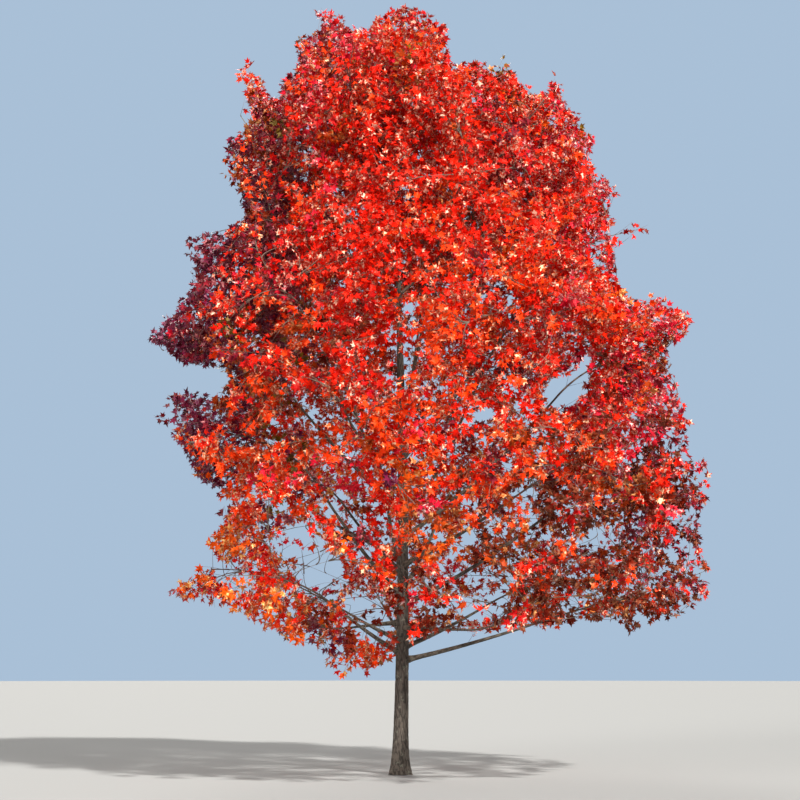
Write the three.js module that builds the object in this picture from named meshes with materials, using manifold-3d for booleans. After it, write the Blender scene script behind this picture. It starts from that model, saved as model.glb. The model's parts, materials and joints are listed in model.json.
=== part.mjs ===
// A freeman maple in full autumn leaf, rooted in the ground: one straight trunk that runs up through the
// crown, tiers of rising boughs, and a mass of foliage at the end of each.
// Millimetres, +Z up, +X to the viewer's right, -Y towards the viewer. The origin is the middle of the
// trunk's foot.

import * as THREE from "three";
import { mergeVertices } from "three/addons/utils/BufferGeometryUtils.js";
import Module from "manifold-3d";

const wasm = await Module();
wasm.setup();

const CLEARANCE = 0.3; // between two pieces that meet
const LEAF_CLEARANCE = 12; // between a twig or leaf and anything that doesn't carry it
const TRIMS = [5, 3, 1.5, 0]; // how far the slivers that fusing leaves may be flattened, the best first
const MERGE = CLEARANCE / 6; // corners closer than this become one
const GOLDEN_ANGLE = Math.PI * (3 - Math.sqrt(5));
const UP = new THREE.Vector3(0, 0, 1);

const TRUNK = {
  top: 10250,
  breastRadius: 117,
  footRadius: 172,
  tipRadius: 15,
  taper: 0.9, // power of the height that the radius falls with
  flareFall: 240, // height in which the root flare falls to a third
  buttresses: 5,
  buttressDepth: 0.12,
  sway: { x: 45, y: 32 },
  swayTurns: { x: 0.8, y: 1.1 },
  sides: 15,
  rings: 12,
  ringsGather: 1.6, // power that brings the rings closer together at the foot
};

// Half-widths of the whole crown at rising heights, to the viewer's left and right.
const CROWN_EDGE = [
  { height: 1500, left: 1300, right: 900 },
  { height: 2200, left: 2900, right: 3900 },
  { height: 2700, left: 3450, right: 4600 },
  { height: 4000, left: 3500, right: 4700 },
  { height: 5300, left: 3650, right: 4550 },
  { height: 6700, left: 3750, right: 4450 },
  { height: 7400, left: 3300, right: 3900 },
  { height: 8200, left: 2850, right: 3350 },
  { height: 9600, left: 2750, right: 3050 },
  { height: 10600, left: 2350, right: 2300 },
  { height: 10950, left: 1700, right: 1250 },
  { height: 12000, left: 1000, right: 600 },
];

// Tiers of foliage from the lowest up. Azimuths are in degrees from +X, so 270 faces the viewer. length,
// width and depth are a mass's size outwards, sideways and upwards, and backRise is how much higher a tier
// stands at its back than at its sides. A tier with a rootRadius grows on boughs that leave the trunk from
// rootHeight up, a rootStep apart. One with none grows from the trunk.
const TIERS = [
  {
    name: "skirt", azimuths: [356, 48, 98, 148, 196, 236, 304],
    height: 2700, scatter: 500, backRise: 0, length: 2900, width: 2350, depth: 1500,
    rootHeight: 1660, rootStep: 95, rootRadius: 40, tipRadius: 17, rise: 0.3, upright: 0.35,
  },
  {
    name: "lower", azimuths: [16, 70, 124, 170, 214, 262, 310],
    height: 4500, scatter: 450, backRise: 0, length: 2600, width: 2350, depth: 1700,
    rootHeight: 2480, rootStep: 120, rootRadius: 38, tipRadius: 17, rise: 0.35, upright: 0.5,
  },
  {
    name: "middle", azimuths: [2, 62, 122, 184, 240, 302],
    height: 6250, scatter: 500, backRise: 0, length: 2500, width: 2450, depth: 1950,
    rootHeight: 3500, rootStep: 150, rootRadius: 35, tipRadius: 16, rise: 0.4, upright: 0.6,
  },
  {
    name: "upper", azimuths: [2, 75, 148, 219, 290],
    height: 7850, scatter: 350, backRise: 0, length: 2150, width: 2250, depth: 2150,
    rootHeight: 4700, rootStep: 210, rootRadius: 31, tipRadius: 15, rise: 0.45, upright: 0.75,
  },
  {
    name: "shoulder", azimuths: [184, 254, 326, 38, 112],
    height: 9600, scatter: 250, backRise: 300, length: 1500, width: 1650, depth: 2450,
    rootHeight: 7050, rootStep: 190, rise: 0.4, upright: 0.9,
  },
  {
    name: "crest", azimuths: [188, 290, 60],
    height: 10950, scatter: 200, backRise: 150, length: 1150, width: 1250, depth: 1900,
    rootHeight: 9000, rootStep: 170, rise: 0.4, upright: 1,
  },
];

// The mass that carries the trunk's own tip on to the top of the tree.
const LEADER = { height: 10930, length: 1350, width: 1350, depth: 1750, lean: 120, stemRise: 0.4 };

// The open window in the right of the crown, seen along the line of sight from the viewer.
const SKY_WINDOW = { x: 2560, height: 5780, halfWidth: 330, halfHeight: 300 };
const VIEWER = { distance: 24000, eyeHeight: 1600 };

// bendAt and sag shape a limb's curve: how far along its bend lies, and how far below the straight line.
const BOUGH = { sides: 5, rings: 4, bendAt: 0.45, sag: 0.35 };

// A mass's stem comes in and ends at these shares of its half-sizes from its centre.
const STEM = {
  rootRadius: 16, tipRadius: 8, sides: 3, rings: 3,
  trunkRootRadius: 26, trunkSides: 4,
  entryOut: -0.66, entryUp: -0.5, endOut: 0.6, endUp: 0.5,
};
const TWIG = { rootRadius: 12, tipRadius: 3, sides: 3, rings: 1 };

// A spray is a twig with one leaf at its end and opposite pairs along it, all facing outwards and a little
// up. skin and limit are shares of the way from a mass's centre to its skin.
const SPRAY = {
  perMass: 5, skin: 0.86, limit: 1.3,
  first: 0.16, last: 0.94, alongOut: 0.4, alongUp: 0.2, // where on the stem a twig starts
  towardsSky: 0.4, tilt: 0.3, turn: 1, droop: 0.15, setBack: 0.2,
  pairsAt: [0.8, 0.4], pairAngle: 1.25, pairScatter: 0.2, pairLength: 0.9,
  tries: 4, retryTurn: 0.35, tipRoll: 0.9,
};

// A leaf here stands for a whole spray, so it is far larger than life. The rest are shares of its length.
const LEAF = {
  length: 1000, scatter: 0.12, sunk: 0.2, thickness: 0.018, middle: 0.3,
  lobeOut: 0.5, lobeAlong: 0.46, notchOut: 0.2, notchAlong: 0.58,
};

const FINISHES = {
  bark: { color: 0x6b5d4f, roughness: 0.9 },
  scarlet: { color: 0xc81e12, roughness: 0.55 },
  crimson: { color: 0xa8122a, roughness: 0.55 },
  maroon: { color: 0x5a1424, roughness: 0.6 },
  orange: { color: 0xdc4a14, roughness: 0.55 },
};
const TINT_PLACES = { maroonLeftOf: -1700, crimsonRightOf: 1900, orangeBelow: 4200 };

// A repeatable stream of numbers from -1 to 1.
function seededJitter(seed) {
  let state = seed >>> 0;
  return () => {
    state = (state + 0x6d2b79f5) >>> 0;
    let mixed = Math.imul(state ^ (state >>> 15), state | 1);
    mixed ^= mixed + Math.imul(mixed ^ (mixed >>> 7), mixed | 61);
    return ((mixed ^ (mixed >>> 14)) >>> 0) / 2 ** 31 - 1;
  };
}

// An even spread from -0.5 to 0.5 that differs from each place to the next.
function spread(index) {
  return ((index * 0.618034 + 0.31) % 1) - 0.5;
}

// Neighbours round the trunk leave it at heights that are not next to each other.
function stepOf(index, count) {
  return (index * (count % 2 ? 2 : count - 1)) % count;
}

function outward(azimuth) {
  const angle = THREE.MathUtils.degToRad(azimuth);
  return new THREE.Vector3(Math.cos(angle), Math.sin(angle), 0);
}

// The crown's radius at a height, on the side that an azimuth faces.
function crownRadius(height, azimuth) {
  const above = CROWN_EDGE.findIndex((edge) => edge.height >= height);
  const [low, high] = [CROWN_EDGE[above - 1], CROWN_EDGE[above]];
  const share = (height - low.height) / (high.height - low.height);
  const left = THREE.MathUtils.lerp(low.left, high.left, share);
  const right = THREE.MathUtils.lerp(low.right, high.right, share);
  return THREE.MathUtils.lerp(left, right, (1 + outward(azimuth).x) / 2);
}

function trunkAxis(height) {
  const turn = (height / TRUNK.top) * Math.PI * 2;
  const x = TRUNK.sway.x * Math.sin(turn * TRUNK.swayTurns.x);
  const y = TRUNK.sway.y * Math.sin(turn * TRUNK.swayTurns.y);
  return new THREE.Vector3(x, y, height);
}

function trunkRadius(height) {
  const along = (height / TRUNK.top) ** TRUNK.taper;
  const flare = (TRUNK.footRadius - TRUNK.breastRadius) * Math.exp(-height / TRUNK.flareFall);
  return THREE.MathUtils.lerp(TRUNK.breastRadius, TRUNK.tipRadius, along) + flare;
}

// A closed solid from a geometry whose corners are merged by place.
function solidOf(geometry) {
  const bare = new THREE.BufferGeometry().setAttribute("position", geometry.getAttribute("position"));
  bare.setIndex(geometry.index);
  const merged = mergeVertices(bare, 1e-3);
  return new wasm.Manifold(
    new wasm.Mesh({
      numProp: 3,
      vertProperties: merged.getAttribute("position").array,
      triVerts: new Uint32Array(merged.index.array),
    }),
  );
}

function meshOf(name, solid, finish) {
  const { vertProperties, triVerts } = solid.getMesh();
  const geometry = new THREE.BufferGeometry();
  geometry.setAttribute("position", new THREE.BufferAttribute(new Float32Array(vertProperties), 3));
  geometry.setIndex(new THREE.BufferAttribute(new Uint32Array(triVerts), 1));
  geometry.computeVertexNormals();
  const material = new THREE.MeshStandardMaterial({ ...FINISHES[finish], metalness: 0 });
  const mesh = new THREE.Mesh(geometry, material);
  mesh.name = name;
  return mesh;
}

// The trunk: a cylinder whose rings are moved to the axis and swollen into buttresses at the foot.
function trunkSolid(extra) {
  const geometry = new THREE.CylinderGeometry(1, 1, 1, TRUNK.sides, TRUNK.rings);
  const place = geometry.getAttribute("position");
  for (let i = 0; i < place.count; i++) {
    const height = TRUNK.top * (place.getY(i) + 0.5) ** TRUNK.ringsGather;
    const around = Math.atan2(-place.getZ(i), place.getX(i));
    const ridge = TRUNK.buttressDepth * Math.cos(TRUNK.buttresses * around);
    const radius = trunkRadius(height) * (1 + ridge * Math.exp(-height / TRUNK.flareFall)) + extra;
    const axis = trunkAxis(height);
    place.setXYZ(i, axis.x + place.getX(i) * radius, axis.y - place.getZ(i) * radius, axis.z);
  }
  return solidOf(geometry);
}

// A limb that tapers along a curve: a cylinder whose rings are moved to the curve.
function limbSolid(curve, rootRadius, tipRadius, { sides, rings }) {
  const geometry = new THREE.CylinderGeometry(1, 1, 1, sides, rings);
  const frames = curve.computeFrenetFrames(rings);
  const place = geometry.getAttribute("position");
  for (let i = 0; i < place.count; i++) {
    const ring = Math.round((place.getY(i) + 0.5) * rings);
    const radius = THREE.MathUtils.lerp(rootRadius, tipRadius, ring / rings);
    const point = curve
      .getPointAt(ring / rings)
      .addScaledVector(frames.normals[ring], place.getX(i) * radius)
      .addScaledVector(frames.binormals[ring], -place.getZ(i) * radius);
    place.setXYZ(i, ...point);
  }
  return solidOf(geometry);
}

// A point on the middle line of a limb made along a curve, which runs straight from ring to ring.
function pointOnLimb(curve, rings, share) {
  const ring = Math.min(rings - 1, Math.floor(share * rings));
  return curve.getPointAt(ring / rings).lerp(curve.getPointAt((ring + 1) / rings), share * rings - ring);
}

// A lobed blade of twelve faces from its root, along its direction, facing its normal.
function leafSolid(root, direction, normal, length) {
  const side = new THREE.Vector3().crossVectors(direction, normal).normalize();
  const at = (out, along, thick) =>
    root
      .clone()
      .addScaledVector(side, out * length)
      .addScaledVector(direction, along * length)
      .addScaledVector(normal, thick * length);
  const outline = [
    at(0, 0, 0),
    at(LEAF.lobeOut, LEAF.lobeAlong, 0),
    at(LEAF.notchOut, LEAF.notchAlong, 0),
    at(0, 1, 0),
    at(-LEAF.notchOut, LEAF.notchAlong, 0),
    at(-LEAF.lobeOut, LEAF.lobeAlong, 0),
  ];
  const above = at(0, LEAF.middle, LEAF.thickness / 2);
  const below = at(0, LEAF.middle, -LEAF.thickness / 2);
  const faces = outline.flatMap((_, i) => {
    const next = (i + 1) % outline.length;
    return [i, next, outline.length, next, i, outline.length + 1];
  });
  const geometry = new THREE.BufferGeometry().setFromPoints([...outline, above, below]).setIndex(faces);
  return { solid: solidOf(geometry), tips: outline };
}

// Where a mass lies: its centre, its own three axes, and where its stem comes in and ends.
function massSpace(tier, azimuth, height) {
  const out = outward(azimuth);
  const half = { out: tier.length / 2, side: tier.width / 2, up: tier.depth / 2 };
  const centre = trunkAxis(height).addScaledVector(out, crownRadius(height, azimuth) - half.out);
  const within = (outShare, upShare) =>
    centre.clone().addScaledVector(out, outShare * half.out).addScaledVector(UP, upShare * half.up);
  return {
    centre,
    out,
    side: new THREE.Vector3().crossVectors(UP, out),
    half,
    entry: within(STEM.entryOut, STEM.entryUp),
    end: within(STEM.endOut, STEM.endUp * tier.upright),
  };
}

// How far out a point lies in a mass's space: 0 at its centre and 1 on its skin.
function depthIn(space, point) {
  const from = point.clone().sub(space.centre);
  const out = from.dot(space.out) / space.half.out;
  return Math.hypot(out, from.dot(space.side) / space.half.side, from.z / space.half.up);
}

function skinPoint(space, direction, share) {
  return space.centre
    .clone()
    .addScaledVector(space.out, direction.x * space.half.out * share)
    .addScaledVector(space.side, direction.y * space.half.side * share)
    .addScaledVector(UP, direction.z * space.half.up * share);
}

function inSkyWindow(point) {
  const scale = VIEWER.distance / (VIEWER.distance + point.y);
  const across = (point.x * scale - SKY_WINDOW.x) / SKY_WINDOW.halfWidth;
  const height = VIEWER.eyeHeight + (point.z - VIEWER.eyeHeight) * scale;
  return Math.hypot(across, (height - SKY_WINDOW.height) / SKY_WINDOW.halfHeight) < 1;
}

function boxed(solid) {
  return { solid, box: solid.boundingBox() };
}

function isClear(solid, others, gap) {
  const { min, max } = solid.boundingBox();
  return others.every(({ solid: other, box }) => {
    const apart = [0, 1, 2].some((k) => min[k] - gap > box.max[k] || box.min[k] - gap > max[k]);
    return apart || solid.minGap(other, gap) >= gap;
  });
}

// True where every edge, told by the places of its ends, has two faces and no more.
function hasPlainEdges(solid) {
  const { vertProperties, triVerts } = solid.getMesh();
  const placeOf = (corner) => {
    const [x, y, z] = vertProperties.subarray(3 * corner, 3 * corner + 3);
    return `${x.toFixed(3)},${y.toFixed(3)},${z.toFixed(3)}`;
  };
  const used = new Map();
  for (let i = 0; i < triVerts.length; i++) {
    const next = i % 3 === 2 ? i - 2 : i + 1;
    const edge = [placeOf(triVerts[i]), placeOf(triVerts[next])].sort().join(" ");
    used.set(edge, (used.get(edge) ?? 0) + 1);
  }
  return [...used.values()].every((count) => count === 2);
}

// The twigs and leaves of one mass, each clear of everything but what carries it. Each twig runs to a
// place spread evenly over the skin of the mass's space.
function growSprays({ space, stemCurve, stem }, seed, placed) {
  const jitter = seededJitter(seed);
  const pieces = [boxed(stem)];
  // Adds a piece if it stays in the space and off the sky window, and touches nothing but its carrier.
  const add = (solid, points, carrier) => {
    const inside = points.every((point) => depthIn(space, point) < SPRAY.limit && !inSkyWindow(point));
    const others = [...placed, ...pieces.filter((piece) => piece.solid !== carrier)];
    const stays = inside && isClear(solid, others, LEAF_CLEARANCE);
    if (stays) pieces.push(boxed(solid));
    return stays;
  };
  // Adds a leaf whose root is sunk back from a point on its carrier, turned a little where it doesn't fit.
  const addLeaf = (carrier, point, way, facing, length, sunk, turn) => {
    for (let attempt = 0; attempt < SPRAY.tries; attempt++) {
      const retry = SPRAY.retryTurn * Math.ceil(attempt / 2) * (attempt % 2 ? 1 : -1);
      const direction = way.clone().applyAxisAngle(facing, turn + retry);
      direction.addScaledVector(facing, -facing.dot(direction)).normalize();
      const root = point.clone().addScaledVector(direction, -sunk * length);
      const leaf = leafSolid(root, direction, facing, length);
      if (add(leaf.solid, leaf.tips, carrier)) return;
    }
  };
  for (let k = 0; k < SPRAY.perMass; k++) {
    const level = 1 - (2 * k + 1) / SPRAY.perMass;
    const turn = k * GOLDEN_ANGLE + seed;
    const ring = Math.sqrt(1 - level * level);
    const toSkin = new THREE.Vector3(ring * Math.cos(turn), ring * Math.sin(turn), level);
    const middle = skinPoint(space, toSkin, SPRAY.skin);
    const along = 0.5 + SPRAY.alongOut * toSkin.x + SPRAY.alongUp * toSkin.z;
    const from = pointOnLimb(stemCurve, STEM.rings, THREE.MathUtils.clamp(along, SPRAY.first, SPRAY.last));
    const facing = space.out.clone().applyAxisAngle(UP, SPRAY.turn * jitter());
    facing.addScaledVector(UP, SPRAY.towardsSky + SPRAY.tilt * jitter()).normalize();
    const length = LEAF.length * (1 + LEAF.scatter * jitter());
    const way = middle.clone().sub(from);
    way.addScaledVector(facing, -facing.dot(way));
    way.addScaledVector(UP, -SPRAY.droop * way.length()).normalize();
    const end = middle.clone().addScaledVector(way, -SPRAY.setBack * length);
    const twig = limbSolid(new THREE.LineCurve3(from, end), TWIG.rootRadius, TWIG.tipRadius, TWIG);
    if (!add(twig, [end], stem)) continue;
    addLeaf(twig, end, way, facing, length, LEAF.sunk, 0);
    for (const share of SPRAY.pairsAt) {
      for (const side of [-1, 1]) {
        const fork = from.clone().lerp(end, share);
        const away = side * (SPRAY.pairAngle + SPRAY.pairScatter * jitter());
        addLeaf(twig, fork, way, facing, length * SPRAY.pairLength, 0, away);
      }
    }
  }
  const tipWay = stemCurve.getTangentAt(1);
  const tipFacing = new THREE.Vector3().crossVectors(tipWay, space.side).normalize();
  tipFacing.applyAxisAngle(tipWay, SPRAY.tipRoll);
  addLeaf(stem, stemCurve.getPointAt(1), tipWay, tipFacing, LEAF.length, LEAF.sunk, 0);
  return pieces.slice(1).map(({ solid }) => solid);
}

// One mass as a single body. The slivers that fusing leaves are flattened: less where that spoils an
// edge, and then with fewer leaves.
function massSolid(mass, seed, placed) {
  const pieces = growSprays(mass, seed, placed);
  for (let count = pieces.length; count > 0; count--) {
    const fused = wasm.Manifold.union(pieces.slice(0, count));
    const whole = (trim) => {
      const crown = trim ? fused.simplify(trim) : fused;
      const bodies = mass.stem.add(crown).simplify(MERGE).decompose();
      return bodies.sort((a, b) => b.volume() - a.volume())[0];
    };
    const sound = (made) => hasPlainEdges(made) && isClear(made, placed, CLEARANCE / 2);
    const made = TRIMS.map(whole).find(sound);
    if (made) return made;
  }
  throw new Error(`${mass.label} doesn't fuse`);
}

// Each side of the crown has its own autumn colour.
function tintAt(centre) {
  if (centre.x < TINT_PLACES.maroonLeftOf) return "maroon";
  if (centre.x > TINT_PLACES.crimsonRightOf) return "crimson";
  return centre.z < TINT_PLACES.orangeBelow && centre.y < 0 ? "orange" : "scarlet";
}

// A curve that leaves its root low and rises to its end.
function risingCurve(root, end, rise) {
  const bend = root.clone().lerp(end, BOUGH.bendAt);
  bend.addScaledVector(UP, -rise * BOUGH.sag * (end.z - root.z));
  return new THREE.QuadraticBezierCurve3(root, bend, end);
}

// The stem that goes on from a bough's tip, the clearance beyond it and in line with it.
function stemFromBough(label, space, boughCurve) {
  const way = boughCurve.getTangentAt(1);
  const start = space.entry.clone().addScaledVector(way, CLEARANCE);
  const bend = start.clone().addScaledVector(way, BOUGH.bendAt * start.distanceTo(space.end));
  const stemCurve = new THREE.QuadraticBezierCurve3(start, bend, space.end);
  return { label, space, stemCurve, stem: limbSolid(stemCurve, STEM.rootRadius, STEM.tipRadius, STEM) };
}

function stemFromTrunk(label, space, root, rise, trunkCutter) {
  const stemCurve = risingCurve(root, space.end, rise);
  const shape = { sides: STEM.trunkSides, rings: STEM.rings };
  const stem = limbSolid(stemCurve, STEM.trunkRootRadius, STEM.tipRadius, shape).subtract(trunkCutter);
  return { label, space, stemCurve, stem };
}

function stemFromTrunkTip() {
  const tip = trunkAxis(TRUNK.top).addScaledVector(UP, CLEARANCE);
  const half = { out: LEADER.length / 2, side: LEADER.width / 2, up: LEADER.depth / 2 };
  const centre = new THREE.Vector3(tip.x + LEADER.lean, tip.y, LEADER.height);
  const bend = tip.clone().addScaledVector(UP, LEADER.stemRise * half.up);
  const end = centre.clone().addScaledVector(UP, LEADER.stemRise * half.up);
  const stemCurve = new THREE.QuadraticBezierCurve3(tip, bend, end);
  const stem = limbSolid(stemCurve, TRUNK.tipRadius - 1, STEM.tipRadius, STEM);
  return { label: "leader", space: { centre, out: outward(0), side: outward(90), half }, stemCurve, stem };
}

// Every limb is made before the first leaf, so that the leaves keep clear of all of them.
const tree = new THREE.Group();
const trunk = trunkSolid(0);
const trunkCutter = trunkSolid(CLEARANCE);
tree.add(meshOf("trunk", trunk, "bark"));
const limbs = [boxed(trunk)];
const growing = [stemFromTrunkTip()];
for (const tier of [...TIERS].reverse()) {
  const count = tier.azimuths.length;
  for (let i = count - 1; i >= 0; i--) {
    const label = `${tier.name}_${i + 1}`;
    const azimuth = tier.azimuths[i];
    const height = tier.height + tier.scatter * spread(i) + tier.backRise * outward(azimuth).y;
    const space = massSpace(tier, azimuth, height);
    const root = trunkAxis(tier.rootHeight + tier.rootStep * stepOf(i, count));
    if (tier.rootRadius) {
      const curve = risingCurve(root, space.entry, tier.rise);
      const bough = limbSolid(curve, tier.rootRadius, tier.tipRadius, BOUGH).subtract(trunkCutter);
      tree.add(meshOf(`bough_${label}`, bough, "bark"));
      limbs.push(boxed(bough));
      growing.push(stemFromBough(label, space, curve));
    } else {
      growing.push(stemFromTrunk(label, space, root, tier.rise, trunkCutter));
    }
  }
}

// A mass keeps clear of the limbs, the masses made before it, and the stems of those still to come.
const masses = [];
growing.forEach((mass, i) => {
  const stemsToCome = growing.slice(i + 1).map(({ stem }) => boxed(stem));
  const solid = massSolid(mass, i + 1, [...limbs, ...masses, ...stemsToCome]);
  masses.push(boxed(solid));
  tree.add(meshOf(`foliage_${mass.label}`, solid, tintAt(mass.space.centre)));
});

export default tree;
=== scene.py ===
# A freeman maple in full autumn leaf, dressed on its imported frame: bark with its relief, and branches, twigs
# and leaves that grow on from the limbs by the rule that its solids follow. Metres, +Z up, +X to the
# viewer's right, -Y towards the viewer. The origin is the middle of the trunk's foot.

import json
import math
from typing import NamedTuple

import bmesh
import bpy
import numpy as np
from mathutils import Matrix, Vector, noise
from mathutils.kdtree import KDTree


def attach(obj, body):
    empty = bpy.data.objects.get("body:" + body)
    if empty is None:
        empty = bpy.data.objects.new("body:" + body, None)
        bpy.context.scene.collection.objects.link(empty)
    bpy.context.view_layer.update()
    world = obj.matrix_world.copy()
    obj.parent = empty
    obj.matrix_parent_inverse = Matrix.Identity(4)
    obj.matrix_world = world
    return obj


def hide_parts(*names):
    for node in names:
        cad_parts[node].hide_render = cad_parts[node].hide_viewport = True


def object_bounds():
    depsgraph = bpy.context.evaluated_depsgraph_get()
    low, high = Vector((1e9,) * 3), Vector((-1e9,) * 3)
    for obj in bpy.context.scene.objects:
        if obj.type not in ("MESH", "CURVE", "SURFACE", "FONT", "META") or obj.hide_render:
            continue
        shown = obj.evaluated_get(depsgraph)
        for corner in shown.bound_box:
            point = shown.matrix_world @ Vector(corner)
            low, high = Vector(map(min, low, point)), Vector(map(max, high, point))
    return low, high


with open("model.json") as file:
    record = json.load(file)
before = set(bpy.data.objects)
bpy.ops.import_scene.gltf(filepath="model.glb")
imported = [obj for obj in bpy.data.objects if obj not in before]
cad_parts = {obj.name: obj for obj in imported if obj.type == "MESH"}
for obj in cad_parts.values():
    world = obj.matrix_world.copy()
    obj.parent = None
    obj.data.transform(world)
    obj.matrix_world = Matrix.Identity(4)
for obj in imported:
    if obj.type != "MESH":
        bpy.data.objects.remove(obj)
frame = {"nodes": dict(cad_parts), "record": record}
cad_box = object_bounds()

GOLDEN_ANGLE = math.pi * (3 - math.sqrt(5))
GOLDEN_SHARE = 0.618034
SPREAD_START = 0.31
UP = np.array((0.0, 0.0, 1.0))
TINY = 1e-6  # keeps a length from being nothing
SEED = 11
MOST_TRIANGLES = 190_000  # in one joined piece

# Nearly up: no limb and no shoot runs just this way, so each has a direction square to it and to this.
LIMB_REFERENCE = UP + np.array((0.01, 0.02, 0))
SHOOT_REFERENCE = UP + np.array((0.013, 0.021, 0))

TRUNK = {
    "top": 10.25,
    "breast_radius": 0.117,
    "foot_radius": 0.172,
    "tip_radius": 0.015,
    "taper": 0.9,  # power of the height that the radius falls with
    "flare_fall": 0.24,  # height in which the root flare falls to a third
    "buttresses": 5,
    "buttress_depth": 0.12,
    "sway": (0.045, 0.032),
    "sway_turns": (0.8, 1.1),
    "sides": 72,
    "rings": 260,
    "rings_gather": 1.4,  # power that brings the rings closer together at the foot
}

# Half-widths of the whole crown at rising heights, to the viewer's left and right.
EDGE_HEIGHTS = (1.5, 2.2, 2.7, 4.0, 5.3, 6.7, 7.4, 8.2, 9.6, 10.6, 10.95, 12.0)
EDGE_LEFT = (1.3, 2.9, 3.45, 3.5, 3.65, 3.75, 3.3, 2.85, 2.75, 2.35, 1.7, 1.0)
EDGE_RIGHT = (0.9, 3.9, 4.6, 4.7, 4.55, 4.45, 3.9, 3.35, 3.05, 2.3, 1.25, 0.6)


# A tier of foliage. Azimuths are in degrees from +X, so 270 faces the viewer. length, width and depth are
# a mass's size outwards, sideways and upwards, and back_rise is how much higher a tier stands at its back
# than at its sides. root_height and root_step say where its limbs leave the trunk, and rise and upright how
# steeply they climb. A tier with no root_radius grows straight from the trunk.
class Tier(NamedTuple):
    name: str
    azimuths: tuple
    height: float
    scatter: float
    back_rise: float
    length: float
    width: float
    depth: float
    root_height: float
    root_step: float
    rise: float
    upright: float
    branches: int
    root_radius: float = 0.0
    tip_radius: float = 0.0


TIERS = (
    Tier("skirt", (356, 48, 98, 148, 196, 236, 304), 2.7, 0.5, 0.0, 2.9, 2.35, 1.5,
         1.66, 0.095, 0.3, 0.35, 15, 0.040, 0.017),
    Tier("lower", (16, 70, 124, 170, 214, 262, 310), 4.5, 0.45, 0.0, 2.6, 2.35, 1.7,
         2.48, 0.12, 0.35, 0.5, 15, 0.038, 0.017),
    Tier("middle", (2, 62, 122, 184, 240, 302), 6.25, 0.5, 0.0, 2.5, 2.45, 1.95,
         3.5, 0.15, 0.4, 0.6, 16, 0.035, 0.016),
    Tier("upper", (2, 75, 148, 219, 290), 7.85, 0.35, 0.0, 2.15, 2.25, 2.15,
         4.7, 0.21, 0.45, 0.75, 16, 0.031, 0.015),
    Tier("shoulder", (184, 254, 326, 38, 112), 9.6, 0.25, 0.3, 1.5, 1.65, 2.45,
         7.05, 0.19, 0.4, 0.9, 13),
    Tier("crest", (188, 290, 60), 10.95, 0.2, 0.15, 1.15, 1.25, 1.9,
         9.0, 0.17, 0.4, 1.0, 9),
)

# The mass that carries the trunk's own tip on to the top of the tree.
LEADER = {
    "height": 10.93, "length": 1.35, "width": 1.35, "depth": 1.75,
    "lean": 0.12, "stem_rise": 0.4, "branches": 10,
}

# The crown's outline as the viewer sees it, from its lower left round its top: metres across from the
# trunk and up from the ground, at the trunk's distance.
OUTLINE = (
    (-3.35, 2.60), (-3.29, 2.88), (-2.97, 3.15), (-2.99, 3.46), (-2.68, 4.06), (-3.04, 4.40),
    (-3.49, 4.98), (-3.78, 5.29), (-3.50, 5.68), (-2.80, 5.72), (-2.70, 6.00), (-3.30, 6.20),
    (-3.85, 6.54), (-3.42, 7.17), (-3.21, 7.49), (-3.35, 8.19), (-2.50, 8.42), (-2.46, 8.77), (-2.79, 9.29),
    (-2.71, 9.75), (-2.41, 10.08), (-2.60, 10.98), (-2.38, 11.16), (-1.99, 10.41), (-1.84, 10.74),
    (-1.60, 11.08), (-1.64, 11.44), (-1.34, 11.58), (-1.37, 11.95), (-1.18, 12.02), (-0.89, 11.88),
    (-0.78, 11.61), (-0.45, 11.68), (-0.22, 11.95), (0.00, 12.03), (0.61, 11.85), (0.80, 11.78),
    (0.73, 11.24), (0.95, 10.98), (1.24, 11.08), (1.52, 10.88), (1.69, 11.19), (1.84, 10.94), (2.06, 10.54),
    (2.33, 10.58), (2.41, 10.88), (2.69, 10.33), (3.06, 9.75), (2.95, 9.42), (3.41, 8.93), (3.31, 8.53),
    (4.00, 8.38), (3.43, 8.13), (3.36, 7.77), (3.63, 7.17), (4.03, 7.23), (4.54, 6.82), (4.13, 6.35),
    (4.35, 5.60), (4.62, 4.90), (4.79, 4.37), (4.63, 3.76), (4.59, 2.59), (3.89, 2.23), (3.46, 1.87),
    (3.17, 2.26), (1.20, 2.05), (0.70, 2.14), (-0.18, 1.61), (-0.98, 1.37), (-1.34, 1.82), (-2.38, 2.29),
)

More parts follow.
